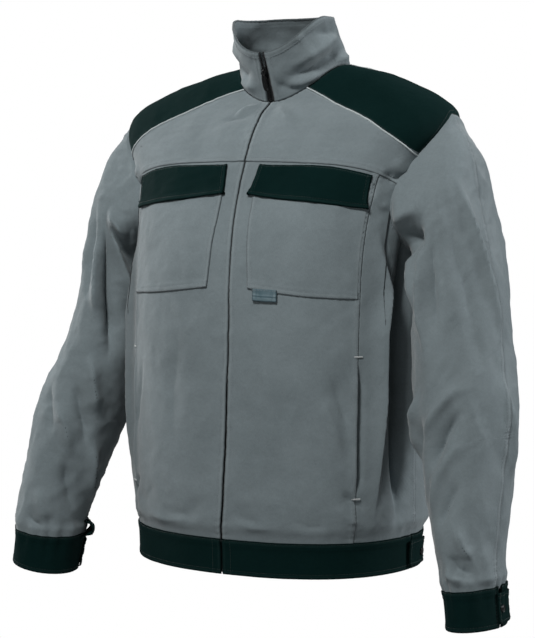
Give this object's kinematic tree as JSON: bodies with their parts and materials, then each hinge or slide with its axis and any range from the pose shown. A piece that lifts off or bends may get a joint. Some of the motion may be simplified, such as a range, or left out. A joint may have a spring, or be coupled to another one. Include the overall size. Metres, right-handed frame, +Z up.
{
  "type": "work jacket",
  "caption": "Hip-length work jacket with stand collar, concealed front zip, flapped chest pockets, slit hand pockets, long sleeves, contrast shoulders, cuffs and hem band.",
  "frame": {"origin": "centre of the neck seam ring, where the collar is sewn to the body", "axes": "+Z up the jacket out of the neck, the front with its zip faces -Y, the wearer's left side is +X"},
  "size_m": [0.7412, 0.3069, 0.7678],
  "materials": {
    "grey_twill": "dense twill workwear cloth",
    "black_twill": "dense twill contrast cloth",
    "lining": "plain woven lining",
    "piping": "woven cord",
    "zip_tape": "woven zip tape",
    "zip_teeth": "moulded",
    "zip_metal": "black enamel",
    "stud": "black enamel",
    "thread": "sewing thread",
    "label": "woven blank tab"
  },
  "bodies": {
    "body": {"front_panel_left": "grey_twill", "front_panel_right": "grey_twill", "side_panel_left": "grey_twill", "side_panel_right": "grey_twill", "back_panel": "grey_twill", "back_yoke": "grey_twill", "front_yoke_left": "grey_twill", "front_yoke_right": "grey_twill", "shoulder_panel_left": "black_twill", "shoulder_panel_right": "black_twill", "piping_front_left": "piping", "piping_front_right": "piping", "piping_back_left": "piping", "piping_back_right": "piping", "collar_outer": "grey_twill", "collar_lining": "lining", "front_facing_left": "lining", "front_facing_right": "lining", "zip_tape_left": "zip_tape", "zip_tape_right": "zip_tape", "zip_chain": "zip_teeth", "zip_teeth_left": "zip_teeth", "zip_teeth_right": "zip_teeth", "zip_box": "zip_teeth", "chest_pocket_left": "grey_twill", "chest_pocket_right": "grey_twill", "pocket_label": "label", "hand_pocket_bag_left": "lining", "hand_pocket_bag_right": "lining", "bartack_upper_left": "thread", "bartack_lower_left": "thread", "bartack_upper_right": "thread", "bartack_lower_right": "thread", "hem_band_front_left": "black_twill", "hem_band_front_right": "black_twill", "hem_band_back": "black_twill", "waist_stud_left": "stud", "waist_stud_right": "stud", "neck_label": "label"},
    "flap_left": {"pocket_flap_left": "black_twill"},
    "flap_right": {"pocket_flap_right": "black_twill"},
    "slider": {"zip_slider": "zip_metal"},
    "pull": {"zip_pull": "zip_metal"},
    "waist_tab_left": {"waist_tab_left": "black_twill"},
    "waist_tab_right": {"waist_tab_right": "black_twill"},
    "hanger": {"hanger_loop": "black_twill"},
    "sleeve_left": {"upper_sleeve_front_left": "grey_twill", "upper_sleeve_back_left": "grey_twill"},
    "sleeve_right": {"upper_sleeve_front_right": "grey_twill", "upper_sleeve_back_right": "grey_twill"},
    "forearm_left": {"forearm_front_left": "grey_twill", "forearm_back_left": "grey_twill", "cuff_left": "black_twill"},
    "forearm_right": {"forearm_front_right": "grey_twill", "forearm_back_right": "grey_twill", "cuff_right": "black_twill"},
    "cuff_tab_left": {"cuff_tab_left": "black_twill"},
    "cuff_tab_right": {"cuff_tab_right": "black_twill"}
  },
  "joints": [
    {"name": "flap_left_hinge", "type": "hinge", "parent": "body", "child": "flap_left", "pos_m": [0.02868, -0.11238, -0.11739], "axis": [-0.9777, -0.1829, 0.1034], "range_deg": [0, 150]},
    {"name": "flap_right_hinge", "type": "hinge", "parent": "body", "child": "flap_right", "pos_m": [-0.02868, -0.11238, -0.11739], "axis": [-0.9777, 0.1829, -0.1034], "range_deg": [0, 150]},
    {"name": "zip_travel", "type": "slide", "parent": "body", "child": "slider", "axis": [0, -0.3511, 0.9363], "range_m": [-0.015, 0.018]},
    {"name": "zip_pull_hinge", "type": "hinge", "parent": "slider", "child": "pull", "pos_m": [0, -0.0445, -0.00407], "axis": [-1, 0, 0], "range_deg": [0, 90]},
    {"name": "waist_tab_left_hinge", "type": "hinge", "parent": "body", "child": "waist_tab_left", "pos_m": [0.20083, -0.01068, -0.63051], "axis": [0, 0, -1], "range_deg": [0, 110]},
    {"name": "waist_tab_right_hinge", "type": "hinge", "parent": "body", "child": "waist_tab_right", "pos_m": [-0.20083, -0.01068, -0.63051], "axis": [0, 0, 1], "range_deg": [0, 110]},
    {"name": "hanger_loop_hinge", "type": "hinge", "parent": "body", "child": "hanger", "pos_m": [0, 0.09241, 0.00792], "axis": [-1, 0, 0], "range_deg": [0, 80]},
    {"name": "shoulder_left", "type": "hinge", "parent": "body", "child": "sleeve_left", "pos_m": [0.238, 0.02, -0.046], "axis": [0, -1, 0], "range_deg": [0, 40]},
    {"name": "shoulder_right", "type": "hinge", "parent": "body", "child": "sleeve_right", "pos_m": [-0.238, 0.02, -0.046], "axis": [0, 1, 0], "range_deg": [0, 40]},
    {"name": "elbow_left", "type": "hinge", "parent": "sleeve_left", "child": "forearm_left", "pos_m": [0.3, -0.117, -0.467], "axis": [-1, 0, 0], "range_deg": [0, 45]},
    {"name": "elbow_right", "type": "hinge", "parent": "sleeve_right", "child": "forearm_right", "pos_m": [-0.295, -0.117, -0.462], "axis": [-1, 0, 0], "range_deg": [0, 45]},
    {"name": "cuff_tab_left_hinge", "type": "hinge", "parent": "forearm_left", "child": "cuff_tab_left", "pos_m": [0.36528, -0.06326, -0.66708], "axis": [-0.1026, 0.1549, 0.9826], "range_deg": [0, 110]},
    {"name": "cuff_tab_right_hinge", "type": "hinge", "parent": "forearm_right", "child": "cuff_tab_right", "pos_m": [-0.30928, -0.03751, -0.65991], "axis": [0.1035, 0.1655, 0.9808], "range_deg": [0, 110]}
  ]
}
